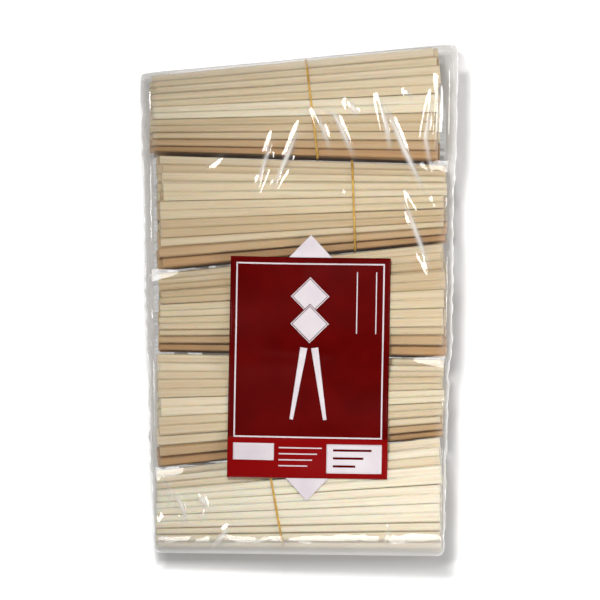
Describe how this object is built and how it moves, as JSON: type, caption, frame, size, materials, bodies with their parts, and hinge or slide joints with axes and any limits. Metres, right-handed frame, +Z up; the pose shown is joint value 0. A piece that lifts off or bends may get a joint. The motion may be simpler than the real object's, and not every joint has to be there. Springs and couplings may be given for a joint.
{
  "type": "pack of disposable wooden chopsticks",
  "caption": "Sealed clear film bag with a red printed panel, holding round bundles of tapered wooden chopstick pairs laid head to tail and tied with rubber bands.",
  "frame": {"origin": "middle of the pack's box, on the floor it lies on", "axes": "+X along the sticks, +Y from the sealed end to the mouth of the bag, +Z up through the printed face"},
  "size_m": [0.2298, 0.3666, 0.0864],
  "materials": {
    "film": "clear glossy film",
    "red_ink": "print under gloss film",
    "white_ink": "print under gloss film",
    "aspen": "planed, unvarnished",
    "rubber": "plain natural rubber"
  },
  "bodies": {
    "root": {"film_bag": "film", "label_red_ink": "red_ink", "label_white_ink": "white_ink", "chopsticks_bundle_1": "aspen", "chopsticks_bundle_2": "aspen", "chopsticks_bundle_3": "aspen", "chopsticks_bundle_4": "aspen", "chopsticks_bundle_5": "aspen", "rubber_band_1": "rubber", "rubber_band_2": "rubber", "rubber_band_3": "rubber", "rubber_band_4": "rubber", "rubber_band_5": "rubber"}
  },
  "joints": []
}
